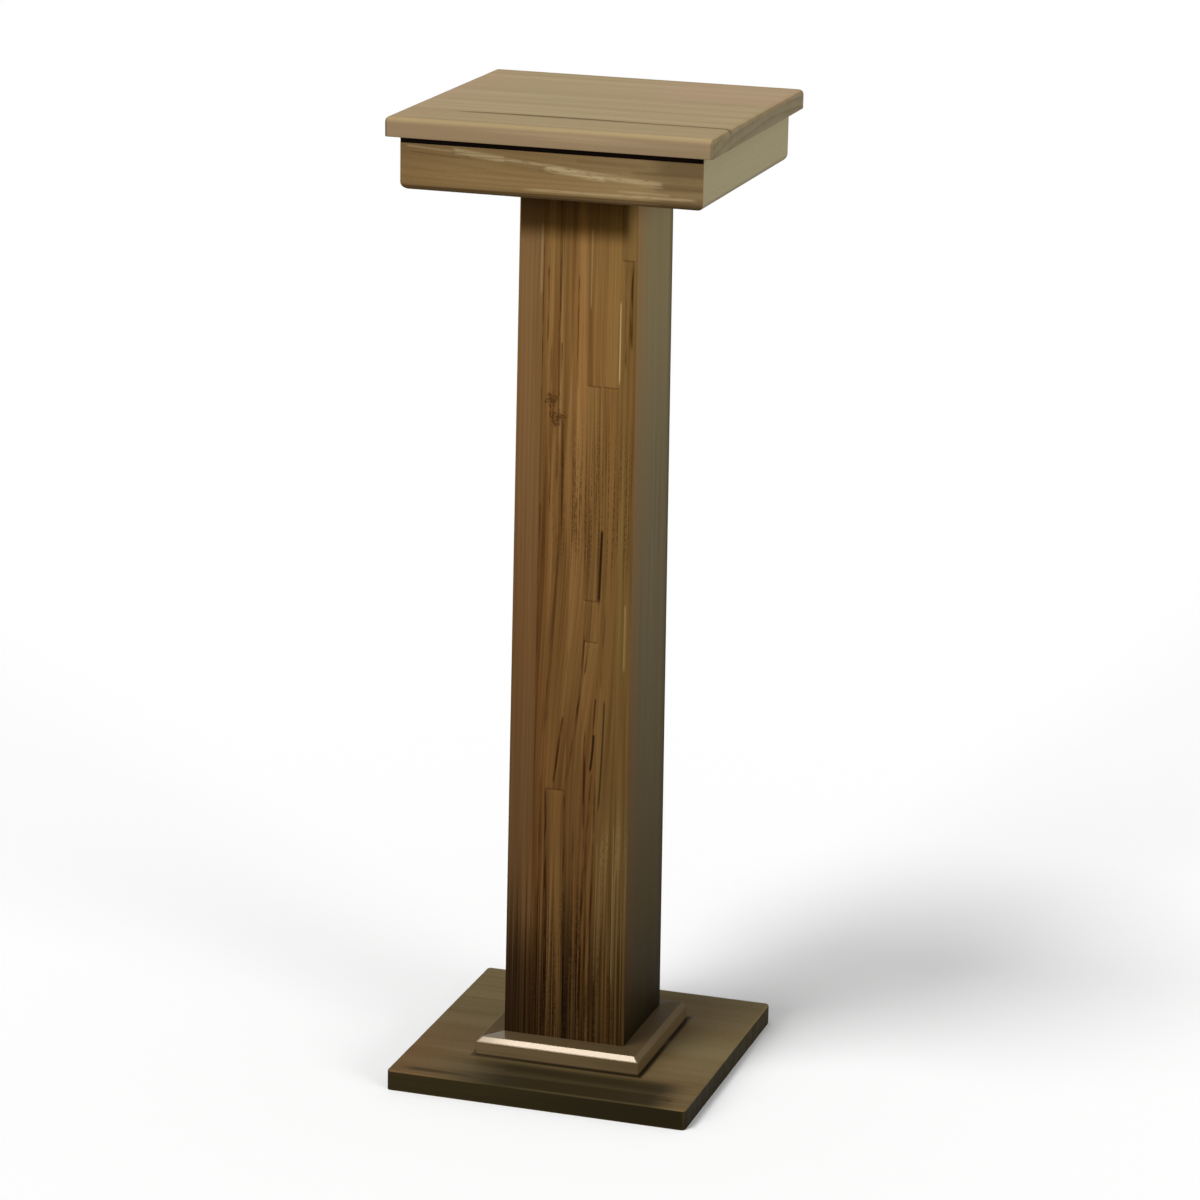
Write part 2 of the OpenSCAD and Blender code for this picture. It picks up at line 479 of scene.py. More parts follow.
def seam_depth(turn, place, level, seams):
    """The fine groove where a seam or the end of a stave lies, and nothing elsewhere."""
    if any(abs(place - seam) < 1e-6 for seam in seams):
        return SEAM_DEPTH
    staves = SHAFT_FACES[turn]
    butts = staves[sum(place > seam for seam in seams)].butts
    return BUTT_DEPTH if any(abs(level - butt * MM) < 1e-6 for butt in butts) else 0.0


def mark_staves(mesh, levels, columns, seams, half, arc_steps):
    """Store, on every face of the shaft, which way its stave's fibres lie and its tint."""
    ring = []
    for turn, places in enumerate(columns):
        edges = [place * (half - SHAFT_ARRIS) for place in places]
        edges += [edges[-1] + SHAFT_ARRIS * 1.57 * (i + 1) / arc_steps for i in range(arc_steps)]
        for left, right in zip(edges, edges[1:]):
            middle = (left + right) / 2 / half
            ring.append((turn, left, right, sum(middle > seam for seam in seams[turn])))
    hidden_end = [((0.0, 0.0, 0.0), GOLDEN, 0.0, 1.0, 1.0, 0.0)] * len(ring)
    corners = list(hidden_end)
    for lower, upper in zip(levels, levels[1:]):
        for turn, left, right, number in ring:
            stave = SHAFT_FACES[turn][number]
            length = sum(lower + upper > 2 * butt * MM for butt in stave.butts)
            lot = 2.3 * turn + 0.71 * number + 1.37 * length
            shift = 0.012 * ((5 * number + 3 * length + turn) % 7)
            for side, level in ((left, lower), (right, lower), (right, upper), (left, upper)):
                lean = sweep(side, level) if turn == 0 and number else 0.0
                fibres = (level + lot, side + lean + shift, shift / 2)
                corners.append((fibres, stave.tint, side, stave.figure, 1.0 - turn % 2, float(turn == 0)))
    corners += hidden_end
    grain, tints, across, figure, broad, front = zip(*corners)
    store(mesh, "grain", "FLOAT_VECTOR", "CORNER", grain)
    store(mesh, "stave_tint", "FLOAT_COLOR", "CORNER", tints)
    store(mesh, "across", "FLOAT", "CORNER", across)
    store(mesh, "figure", "FLOAT", "CORNER", figure)
    store(mesh, "broad", "FLOAT", "CORNER", broad)
    store(mesh, "front", "FLOAT", "CORNER", front)


# Drying checks on the front: the height and the place across of their lower and upper
# ends, their width and their bow, in millimetres, and how dark they are
SHAFT_CHECKS = (
    (462, 26.8, 536, 29.0, 2.0, 0, 1.0),
    (302, 20.9, 341, 24.2, 1.9, 0.5, 1.0),
    (262, 29.5, 376, 34.0, 1.4, 0.8, 0.75),
    (288, -15.2, 335, -9.3, 1.1, 0, 0.5),
)
# Softer dark streaks of late wood, and seams that the stain has darkened, set out alike
SHAFT_DARK_RUNS = (
    (286, -15.4, 356, -6.5, 1.7, 0, 0.8),
    (285, -3.8, 436, 13.4, 1.8, 2.8, 0.9),
    (396, 14.0, 427, 18.6, 1.1, 0, 0.7),
    (330, 22.8, 376, 25.6, 1.2, 0, 0.9),
    (665, -14.3, 706, -14.3, 1.4, 0, 0.8),
    (688, -28.3, 776, -28.6, 1.6, 0, 0.6),
    (45, 12.7, 350, 15.0, 1.8, 1.5, 0.85),
    (200, 17.0, 306, 22.0, 2.0, 0, 0.8),
    (50, 22.0, 300, 26.6, 1.5, 0, 0.7),
    (45, -19.5, 290, -22.5, 1.7, 0, 0.9),
    (45, -2.0, 285, -4.0, 1.7, 0, 0.9),
    (60, 5.0, 260, 6.0, 1.3, 0, 0.6),
    (60, -30.0, 300, -27.0, 2.2, 0, 0.5),
    (380, 30.0, 470, 34.0, 1.6, 0, 0.5),
    (330, -26.0, 540, -14.0, 3.0, 1.0, 0.5),
    (400, -34.0, 560, -33.0, 1.6, 0, 0.5),
    (660, 1.0, 770, 2.0, 1.2, 0, 0.7),
    (540, -24.0, 720, -24.5, 2.0, 0, 0.6),
    (560, -17.0, 790, -16.5, 1.6, 0, 0.6),
    (520, -11.0, 640, -12.5, 1.6, 0, 0.6),
    (700, 54.2, 782, 54.4, 2.6, 0, 0.85),
    (640, -34.0, 800, -33.6, 1.0, 0, 0.6),
    (680, 49.5, 800, 48.0, 1.6, 0, 0.6),
)
# Thin pale lines where the glue shows along a seam
SHAFT_PALE_RUNS = (
    (668, 43.5, 748, 43.8, 0.9, 0, 1.0),
    (735, 14.0, 812, 14.3, 1.1, 0, 0.4),
    (560, 3.4, 668, 3.0, 0.9, 0, 0.25),
    (600, -15.0, 812, -14.4, 0.9, 0, 0.2),
    (745, -36.0, 815, -35.6, 2.0, 0, 0.25),
    (400, 52.6, 468, 53.2, 1.5, 0, 0.25),
    (90, 28.0, 240, 29.5, 0.7, 0, 0.15),
    (90, 45.0, 260, 45.6, 0.7, 0, 0.18),
)
# Each burr's place across and its height, in millimetres
SHAFT_BURRS = ((-22, 652), (-18, 634))
# How much of its paleness the wood keeps at each height in metres; the darkening towards the foot is
# partly stain and partly painted shade
FRONT_FADE = (
    (0.04, 0.16), (0.09, 0.22), (0.14, 0.3), (0.2, 0.43), (0.35, 0.52), (0.5, 0.62), (0.65, 0.77),
    (0.74, 0.93),
)
SIDE_FADE = (
    (0.04, 0.03), (0.09, 0.11), (0.15, 0.2), (0.25, 0.3), (0.41, 0.46), (0.6, 0.68), (0.8, 1.0),
)


def butt_lines(staves):
    """A thin dark line across each stave of a face where two of its lengths meet."""
    _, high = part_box("shaft")
    half = (high[0] - SHAFT_ARRIS) / MM
    edges = [-1, *seam_places(staves), 1]
    lines = []
    for stave, left, right in zip(staves, edges, edges[1:]):
        lines += [(left * half, butt, right * half, butt - 0.4, 1.1, 0, 0.45) for butt in stave.butts]
    return lines


def follow(tree, value, stops):
    """A number that follows a list of places and what it is at each, in straight runs."""
    ramp = add(tree, "ShaderNodeValToRGB", {"Fac": value})
    points = ramp.color_ramp.elements
    while len(points) < len(stops):
        points.new(0.5)
    for point, (place, level) in zip(points, stops):
        point.position = place
        point.color = (level, level, level, 1.0)
    return ramp.outputs[0]


def burrs(tree, across, height, place):
    """Small burrs, torn and curly where the fibres turn round them."""
    torn = calc(tree, "SUBTRACT", cloud(tree, place, (330, 330, 210), 2.0), 0.5)
    curls = span(tree, cloud(tree, place, (620, 620, 430), 2.0), 0.4, 0.6, 0.3, 1.0)
    together = None
    for at_across, at_height in SHAFT_BURRS:
        over = calc(tree, "SUBTRACT", across, at_across * MM)
        up = calc(tree, "SUBTRACT", height, at_height * MM)
        squares = calc(tree, "MULTIPLY_ADD", over, over, times(tree, up, up))
        away = calc(tree, "MULTIPLY_ADD", torn, 26 * MM, calc(tree, "SQRT", squares))
        blotch = span(tree, away, 8 * MM, 4 * MM)
        together = blotch if together is None else calc(tree, "MAXIMUM", together, blotch)
    return times(tree, together, curls)


def shaft_stain():
    material, tree, place, figure = new_wood("Golden-brown stain", 420, 0.05, "grain")
    _, y, z = add(tree, "ShaderNodeSeparateXYZ", {0: place}).outputs
    fibres = mark(tree, "grain").outputs["Vector"]
    across = mark(tree, "across").outputs["Fac"]
    strength = mark(tree, "figure").outputs["Fac"]
    broad = mark(tree, "broad").outputs["Fac"]
    side = calc(tree, "SUBTRACT", 1.0, broad)
    front = mark(tree, "front").outputs["Fac"]
    stave = mark(tree, "stave_tint").outputs["Color"]

    # The golden stain ran round the front arris a little way onto the plainer sides
    run_round = times(tree, side, span(tree, y, -0.059, -0.008, 1.0, 0.0))
    stave = tint(tree, run_round, stave, shade(143, 110, 63))

    # Rings, fibres and streaks, and a warmer cast in patches
    share = times(tree, grain_share(tree, figure, 0.22, 0.32, 0.34), strength)
    colour = tint(tree, share, stave, shade(146, 128, 100), "MULTIPLY")
    warm = times(tree, span(tree, across, 0.01, -0.02, 0.2, 0.5), span(tree, z, 0.8, 0.7))
    warm = times(tree, calc(tree, "MULTIPLY_ADD", figure["Patch"], 0.5, warm), broad)
    colour = tint(tree, warm, colour, shade(250, 232, 222), "MULTIPLY")

    # The wood darkens towards the foot, partly as stain in fine stripes that follow the fibres, partly as
    # painted shade
    low_down = times(tree, span(tree, z, 0.25, 0.11), broad)
    stripe = span(tree, cloud(tree, fibres, (1.6, 520, 100), 1.0), 0.36, 0.64, 0.5, 1.55)
    stripe = add(tree, "ShaderNodeMix", {0: low_down, 2: 1.0, 3: stripe}, data_type="FLOAT").outputs[0]
    fade = tint(tree, broad, follow(tree, z, SIDE_FADE), follow(tree, z, FRONT_FADE))
    colour = tint(tree, 1.0, colour, fade, "MULTIPLY")
    colour = add(tree, "ShaderNodeVectorMath", {0: colour, "Scale": stripe}, operation="SCALE").outputs[0]
    low_side = times(tree, side, span(tree, z, 0.5, 0.1))
    colour = tint(tree, low_side, colour, shade(255, 238, 170), "MULTIPLY")
    left_corner = times(tree, span(tree, across, -0.02, -0.035, 0.0, 0.6), broad)
    left_corner = times(tree, left_corner, span(tree, z, 0.17, 0.1))
    colour = tint(tree, left_corner, colour, shade(140, 134, 128), "MULTIPLY")

    # Checks, streaks, glue lines and burrs of the front; the streaks are broken along the fibres
    broken = span(tree, cloud(tree, fibres, (30, 420, 100), 2.0), 0.36, 0.58, 0.15, 1.0)
    dark_runs = times(tree, streaks(tree, z, across, SHAFT_DARK_RUNS), front, broken)
    colour = tint(tree, dark_runs, colour, shade(150, 110, 76), "MULTIPLY")
    pale_runs = times(tree, streaks(tree, z, across, SHAFT_PALE_RUNS), front, 0.75)
    colour = tint(tree, pale_runs, colour, shade(190, 168, 116))
    butts = times(tree, streaks(tree, across, z, butt_lines(FRONT_STAVES)), front)
    colour = tint(tree, butts, colour, shade(150, 122, 92), "MULTIPLY")
    checks = times(tree, streaks(tree, z, across, SHAFT_CHECKS), front)
    colour = tint(tree, times(tree, checks, 0.92), colour, shade(30, 16, 5))
    burr = times(tree, burrs(tree, across, z, place), front)
    colour = tint(tree, times(tree, burr, 0.8), colour, shade(68, 42, 15))

    # Open pores show as short dashes halfway up and near the foot
    halfway = times(tree, span(tree, z, 0.46, 0.53), span(tree, z, 0.66, 0.58))
    halfway = times(tree, halfway, span(tree, across, -0.03, 0.01, 0.35, 1.0))
    lines = span(tree, cloud(tree, fibres, (7, 560, 100), 1.0), 0.45, 0.6)
    dots = span(tree, cloud(tree, fibres, (330, 560, 100), 1.0), 0.38, 0.6, 0.45, 1.0)
    dashes = times(tree, lines, dots)
    pale_hatch = times(tree, span(tree, z, 0.1, 0.16), span(tree, z, 0.29, 0.22), dashes)
    pale_hatch = times(tree, pale_hatch, span(tree, across, 0.01, 0.04), front, 0.36)
    colour = tint(tree, pale_hatch, colour, shade(146, 122, 78))
    open_grain = calc(tree, "MAXIMUM", low_down, halfway)
    pores = calc(tree, "MULTIPLY_ADD", figure["Pore"], 0.25, dashes)
    pores = times(tree, pores, calc(tree, "MULTIPLY_ADD", open_grain, 0.6, 0.08), strength)
    colour = tint(tree, pores, colour, shade(126, 100, 72), "MULTIPLY")

    # Painted shadow of the apron lies on the shaft under it, and painted shade along the back arrises of
    # the sides
    apron_shadow = times(tree, span(tree, z, 0.793, 0.814, 0.0, 0.92), broad)
    apron_shadow = times(tree, apron_shadow, span(tree, across, 0.056, 0.046))
    colour = tint(tree, apron_shadow, colour, shade(132, 122, 88), "MULTIPLY")
    # Painted shade: the sides darken towards their back arrises
    painted_shade = times(tree, side, span(tree, y, 0.04, 0.058, 0.0, 0.6))
    colour = tint(tree, painted_shade, colour, shade(30, 29, 16))
    height = calc(tree, "SUBTRACT", 1.0, calc(tree, "MULTIPLY_ADD", share, 0.4, pores))
    height = calc(tree, "SUBTRACT", height, calc(tree, "MAXIMUM", checks, times(tree, burr, 0.5)))
    varnish(tree, colour, height, relief=0.3 * MM, gloss=0.02)
    return material


finish_piece(tapered_shaft(), "shaft", shaft_stain())


# --------------------------------------------------------------- foot moulding
# Four lengths of one moulding run round the foot of the shaft, mitred at the corners
# and glued to the base board. Each has a plain face, a bevel and a sloped shoulder.
# They are grey-brown, and the front length is polished, so that its bevel shines.
SIDES = {"front": 0, "right": 90, "back": 180, "left": 270}
MOULDING_FACE = 13 * MM
MOULDING_BEVEL = 4.5 * MM
MOULDING_LETS_IN = 0.5 * MM


def section_outline(corners, step=1.5 * MM, arc_steps=6):
    """Points round a section: each corner rounded to its radius, and straight runs cut short."""
    turns = []
    for i, (out, up, radius) in enumerate(corners):
        corner = Vector((out, up))
        back = (Vector(corners[i - 1][:2]) - corner).normalized()
        ahead = (Vector(corners[(i + 1) % len(corners)][:2]) - corner).normalized()
        if radius == 0:
            turns.append([corner])
            continue
        half_angle = back.angle(ahead) / 2
        centre = corner + (back + ahead).normalized() * (radius / math.sin(half_angle))
        reach = radius / math.tan(half_angle)
        first = corner + back * reach - centre
        last = corner + ahead * reach - centre
        start = math.atan2(first.y, first.x)
        turn = math.remainder(math.atan2(last.y, last.x) - start, math.tau)
        angles = [start + turn * j / arc_steps for j in range(arc_steps + 1)]
        turns.append([centre + radius * Vector((math.cos(a), math.sin(a))) for a in angles])
    outline = []
    for turn, after in zip(turns, turns[1:] + turns[:1]):
        outline += turn
        run = after[0] - turn[-1]
        cuts = max(1, round(run.length / step))
        outline += [turn[-1] + run * k / cuts for k in range(1, cuts)]
    return outline


def section_object(name, outline):
    """The outline of a section as a closed wire, to be drawn out by the tree below."""
    wire = bpy.data.meshes.new(name)
    ring = [(i, (i + 1) % len(outline)) for i in range(len(outline))]
    wire.from_pydata([(point.x, point.y, 0.0) for point in outline], ring, [])
    section = bpy.data.objects.new(name, wire)
    bpy.context.scene.collection.objects.link(section)
    return section


def make_mitred_length():
    """Geometry nodes that draw a section out along one side of the stand, mitred at both ends."""
    tree = bpy.data.node_groups.new("Mitred length", "GeometryNodeTree")
    sockets = (("Section", "Geometry"), ("Stations", "Int"), ("Turn", "Float"),
               ("Lot", "Float"), ("Waver", "Float"), ("Wood", "Material"))
    for name, kind in sockets:
        tree.interface.new_socket(name, in_out="INPUT", socket_type="NodeSocket" + kind)
    tree.interface.new_socket("Length", in_out="OUTPUT", socket_type="NodeSocketGeometry")
    given = tree.nodes.new("NodeGroupInput").outputs

    position = add(tree, "GeometryNodeInputPosition").outputs[0]
    inputs = {"Geometry": given["Section"], "Name": "section", "Value": position}
    section = add(tree, "GeometryNodeStoreNamedAttribute", inputs, data_type="FLOAT_VECTOR")
    profile = add(tree, "GeometryNodeMeshToCurve", {0: section.outputs[0]}).outputs[0]

    line = add(tree, "GeometryNodeCurvePrimitiveLine", {"Start": (-1, 0, 0), "End": (1, 0, 0)})
    inputs = {"Curve": line.outputs[0], "Count": given["Stations"]}
    line = add(tree, "GeometryNodeResampleCurve", inputs)
    station = add(tree, "ShaderNodeSeparateXYZ", {0: position}).outputs[0]
    inputs = {"Geometry": line.outputs[0], "Name": "station", "Value": station}
    line = add(tree, "GeometryNodeStoreNamedAttribute", inputs, data_type="FLOAT")

    inputs = {"Curve": line.outputs[0], "Profile Curve": profile, "Fill Caps": True}
    drawn = add(tree, "GeometryNodeCurveToMesh", inputs).outputs[0]
    at = add(tree, "GeometryNodeInputNamedAttribute", {"Name": "section"}, data_type="FLOAT_VECTOR")
    out, up, _ = add(tree, "ShaderNodeSeparateXYZ", {0: at.outputs[0]}).outputs
    at = add(tree, "GeometryNodeInputNamedAttribute", {"Name": "station"}, data_type="FLOAT")
    along = times(tree, at.outputs[0], out)
    from_lot = calc(tree, "ADD", along, given["Lot"])
    wood = add(tree, "ShaderNodeCombineXYZ", {0: from_lot, 1: up, 2: out}).outputs[0]

    ripple = add(tree, "ShaderNodeTexNoise", {"Vector": wood, "Scale": 26.0, "Detail": 1.0}).outputs[0]
    pulled = calc(tree, "SUBTRACT", out, times(tree, ripple, given["Waver"]))
    place = add(tree, "ShaderNodeCombineXYZ", {0: along, 1: times(tree, pulled, -1.0), 2: up})
    inputs = {"Geometry": drawn, "Name": "grain", "Value": wood}
    marked = add(tree, "GeometryNodeStoreNamedAttribute", inputs, data_type="FLOAT_VECTOR")
    inputs = {"Geometry": marked.outputs[0], "Position": place.outputs[0]}
    placed = add(tree, "GeometryNodeSetPosition", inputs).outputs[0]
    turn = add(tree, "ShaderNodeCombineXYZ", {2: given["Turn"]}).outputs[0]
    turned = add(tree, "GeometryNodeTransform", {"Geometry": placed, "Rotation": turn}).outputs[0]
    real = add(tree, "GeometryNodeRealizeInstances", {"Geometry": turned}).outputs[0]
    inputs = {"Geometry": real, "Material": given["Wood"]}
    stained = add(tree, "GeometryNodeSetMaterial", inputs).outputs[0]
    output = tree.nodes.new("NodeGroupOutput")
    tree.links.new(stained, output.inputs["Length"])
    return tree


MITRED_LENGTH = make_mitred_length()


def mitred_length(node, outline, sizes, arris):
    """One mitred length as a plain mesh, with its arrises rubbed down."""
    section = section_object(node + "_section", outline)
    drawing = section.modifiers.new("Mitred length", "NODES")
    drawing.node_group = MITRED_LENGTH
    for socket in MITRED_LENGTH.interface.items_tree:
        if socket.in_out == "INPUT" and socket.name in sizes:
            drawing[socket.identifier] = sizes[socket.name]
    easing = section.modifiers.new("Rubbed arrises", "BEVEL")
    easing.width = arris
    easing.segments = 2
    easing.limit_method = "ANGLE"
    easing.angle_limit = math.radians(25)
    seen = bpy.context.evaluated_depsgraph_get()
    mesh = bpy.data.meshes.new_from_object(
        section.evaluated_get(seen), preserve_all_data_layers=True, depsgraph=seen)
    mesh.name = node + "_wood"
    bpy.data.objects.remove(section)
    shell = bmesh.new()
    shell.from_mesh(mesh)
    bmesh.ops.remove_doubles(shell, verts=shell.verts, dist=0.01 * MM)
    bmesh.ops.recalc_face_normals(shell, faces=shell.faces)
    shell.to_mesh(mesh)
    shell.free()
    mark_surface(mesh)
    return mesh


def moulding_outline():
    low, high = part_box("moulding_front")
    _, shaft_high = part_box("shaft")
    outer = -low[1]
    shaft_face = shaft_high[0]
    foot, head = low[2], high[2]
    return section_outline((
        (shaft_face - MOULDING_LETS_IN, foot, 0),
        (outer, foot, 0),
        (outer, foot + MOULDING_FACE, 0),
        (outer - MOULDING_BEVEL, foot + MOULDING_FACE + MOULDING_BEVEL, 0),
        (shaft_face, head, 0),
        (shaft_face - MOULDING_LETS_IN, head, 0),
    ), step=1.0 * MM)


POLISHED = (0.1, 0.34)
CREAM = (1.0, 0.85, 0.68, 1.0)


def moulding_stain(name, gloss, rough):
    material, tree, place, figure = new_wood(name, 300, 0.04, "grain")
    share = grain_share(tree, figure, 0.2, 0.35, 0.35)
    colour = tint(tree, share, shade(100, 84, 58), shade(80, 65, 42))
    x, _, z = add(tree, "ShaderNodeSeparateXYZ", {0: place}).outputs
    colour = tint(tree, span(tree, x, 0.0, 0.08, 0.0, 0.5), colour, shade(76, 62, 38))
    worn = times(tree, mark(tree, "edge").outputs["Fac"], 0.2)
    colour = tint(tree, worn, colour, shade(120, 102, 74))
    low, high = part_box("moulding_front")
    shoulder = span(tree, z, high[2] - 1.8 * MM, high[2] - 1.0 * MM, 0.0, 0.3)
    colour = tint(tree, shoulder, colour, shade(60, 46, 28))
    # Painted shadow: a dark line along the foot of each length, where it meets the board
    contact_shadow = span(tree, z, low[2] + 2.5 * MM, low[2] + 0.5 * MM, 0.0, 0.8)
    colour = tint(tree, contact_shadow, colour, shade(28, 20, 8))
    height = calc(tree, "MULTIPLY_ADD", share, -0.08, 1.0)
    dulled_end = span(tree, x, -0.02, -0.085, 0.0, 0.75)
    height = calc(tree, "SUBTRACT", height, dulled_end)
    varnish(tree, colour, height, 0.01 * MM, gloss, rough, CREAM)
    return material


polished = moulding_stain("Grey-brown stain, polished", 0.62, POLISHED)
unpolished = moulding_stain("Grey-brown stain", 0.03, SATIN)
for number, (side, degrees) in enumerate(SIDES.items()):
    name = "moulding_" + side
    stain = polished if side == "front" else unpolished
    sizes = {"Stations": 60, "Turn": math.radians(degrees), "Lot": 1.9 * number + 0.4,
             "Waver": 0.03 * MM, "Wood": stain}
    length = mitred_length(name, moulding_outline(), sizes, 0.4 * MM)
    finish_piece(length, name, stain)


# ----------------------------------------------------------------------- apron
# Four boards stand on edge under the top board, mitred at the corners, with their
# lower outer edge rounded over and darkened with painted shade. The front board has a
# pale streak of sapwood, and a narrow cut along its upper edge that reads as a black
# line; painted shade lies in it.
APRON_THICKNESS = 18 * MM
APRON_ROUND = 7 * MM
SHADOW_HEIGHT = 6 * MM
SHADOW_DEPTH = 5 * MM


def apron_outline(has_shadow_line):
    low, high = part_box("apron_front")
    outer = -low[1]
    inner = outer - APRON_THICKNESS
    foot, head = low[2], high[2]
    corners = [(inner, foot, 0), (outer, foot, APRON_ROUND)]
    if has_shadow_line:
        corners += [
            (outer, head - SHADOW_HEIGHT, 0),
            (outer - SHADOW_DEPTH, head - SHADOW_HEIGHT, 0),
            (outer - SHADOW_DEPTH, head, 0),
        ]
    else:
        corners += [(outer, head, 0)]
    corners += [(inner, head, 0)]
    return section_outline(corners)


# Pale sapwood on the front board: the place along it and the height of each streak's left
# and right ends, its width and its bow, in millimetres, and how strong it is
SAP_RUNS = (
    (-136, 889, -84, 886, 1.6, 0, 0.4),
    (-92, 887, -40, 882, 4.0, 0, 0.8),
    (-50, 883, 20, 877, 2.2, 0.6, 0.7),
    (-8, 878.5, 52, 872, 4.8, 0, 1.0),
    (34, 875, 104, 869, 4.0, 0, 0.7),
    (-30, 857.5, 136, 858.5, 1.9, 0, 0.55),
    (60, 862, 110, 861, 1.5, 0, 0.4),
)
# The darker wood beside it; the last line, along the lower rounding, is painted shade
SAP_EDGES_AND_SHADE_LINE = (
    (-132, 884, -82, 881, 0.8, 0, 0.7),
    (-92, 886, -74, 883, 2.6, 0, 0.6),
    (-60, 882.5, 8, 876.5, 0.8, 0.4, 0.6),
    (-12, 876, 4, 873, 2.4, 0, 0.55),
    (20, 886, 90, 884, 3.0, 0, 0.35),
    (70, 877, 155, 876.5, 5.0, 0, 0.8),
    (92, 867, 155, 868, 5.0, 0, 1.0),
    # Painted shade: a dark line along the lower rounding of the board
    (-150, 852.5, 150, 854.6, 1.3, 0, 1.0),
)


def apron_stain(name, is_front, pale, dark):
    material, tree, place, figure = new_wood(name, 210, 0.07, "grain")
    x, y, z = add(tree, "ShaderNodeSeparateXYZ", {0: place}).outputs
    low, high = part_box("apron_front")
    face, foot = low[1], low[2]
    cut_foot = high[2] - SHADOW_HEIGHT
    streak = figure["Streak"]
    strength = 1.0 if is_front else 0.35
    share = grain_share(tree, figure, 0.25 * strength, 0.25 * strength, 0.5 * strength)
    colour = tint(tree, share, pale, dark)
    if is_front:
        colour = tint(tree, span(tree, x, -0.03, 0.12, 0.0, 0.6), colour, shade(143, 121, 85))
        colour = tint(tree, span(tree, x, -0.06, -0.14, 0.0, 0.45), colour, shade(112, 84, 50))
        edges = times(tree, streaks(tree, x, z, SAP_EDGES_AND_SHADE_LINE), span(tree, streak, -0.2, 0.5), 0.75)
        colour = tint(tree, edges, colour, shade(88, 68, 42))
        dark_end = times(tree, span(tree, x, 0.08, 0.11), span(tree, streak, -0.4, 0.5), 0.8)
        colour = tint(tree, dark_end, colour, shade(102, 82, 53))
        torn = cloud(tree, place, (70, 70, 520), 3.0)
        ragged = times(tree, span(tree, torn, 0.3, 0.45), span(tree, figure["Fibre"], -0.3, 0.7))
        sap = times(tree, streaks(tree, x, z, SAP_RUNS), ragged, 0.8)
        colour = tint(tree, sap, colour, shade(180, 160, 122))
    # Painted shade on the lower rounding, which faces down
    shaded_lower_edge = span(tree, z, foot + 7.5 * MM, foot + 0.5 * MM, 0.0, 0.75)
    colour = tint(tree, shaded_lower_edge, colour, shade(70, 50, 26))
    above_it = span(tree, z, foot + APRON_ROUND, foot + 10 * MM, 0.0, 0.3)
    worn = times(tree, mark(tree, "edge").outputs["Fac"], span(tree, figure["Patch"], 0.4, 0.8))
    colour = tint(tree, times(tree, worn, above_it), colour, shade(172, 152, 118))
    colour = tint(tree, times(tree, figure["Pore"], 0.18), colour, shade(74, 56, 34))

    # Painted shade in the cut, which also touches the mitres of the side boards
    behind_the_face = span(tree, y, face + 0.4 * MM, face + 1.2 * MM)
    if not is_front:
        from_middle = calc(tree, "ABSOLUTE", x)
        as_far_in = span(tree, y, face + SHADOW_DEPTH + 1.5 * MM, face + SHADOW_DEPTH)
        on_the_mitre = span(tree, from_middle, -face - 0.2 * MM, -face - 0.6 * MM)
        behind_the_face = times(tree, as_far_in, on_the_mitre)
    as_high = span(tree, z, cut_foot - 1.4 * MM, cut_foot - 0.4 * MM)
    shade_in_the_cut = times(tree, behind_the_face, as_high)
    colour = tint(tree, shade_in_the_cut, colour, shade(22, 13, 7))
    height = calc(tree, "SUBTRACT", 0.95, calc(tree, "MULTIPLY_ADD", figure["Pore"], 0.4, share))
    varnish(tree, colour, height, relief=0.15 * MM)
    return material


front_stain = apron_stain("Mid-brown stain with sapwood", True, shade(135, 110, 72), shade(110, 87, 52))
side_stain = apron_stain("Plain olive stain", False, shade(157, 146, 113), shade(145, 134, 101))
for number, (side, degrees) in enumerate(SIDES.items()):
    name = "apron_" + side
    stain = front_stain if side == "front" else side_stain
    sizes = {"Stations": 90, "Turn": math.radians(degrees), "Lot": 2.7 * number + 1.1,
             "Waver": 0.12 * MM, "Wood": stain}
    board = mitred_length(name, apron_outline(side == "front"), sizes, 0.5 * MM)
    finish_piece(board, name, stain)


# ------------------------------------------------------------------- top board
# The top board is edge-glued from planks that run left to right, with its upper edge
# rounded by hand. It is the palest wood of the stand. One seam near the front has
# opened to a thin dark line, and the end grain at both sides has drunk more stain.
TOP_CORNER = 3 * MM
TOP_ARRIS = 5 * MM
PLANK = 57 * MM

# Seams that have opened, and faint streaks, in millimetres from the middle of the board
TOP_SEAMS = (
    (-104, -99, 60, -94, 3.6, 3.0, 0.8),
    (-70, -97, 175, -95, 2.5, 1.5, 1.0),
)
TOP_STREAKS = (
    (-150, -143, 150, -144, 3.5, 0, 0.5),
    (-40, -60, 60, -62, 2.6, 0, 0.35),
    (20, -30, 150, -34, 3.0, 0, 0.35),
    (-60, 8, 70, 4, 3.0, 0, 0.3),
    (40, -46, 120, -48, 4.0, 0, 0.3),
    (60, 30, 140, 34, 9.0, 0, 0.3),
)


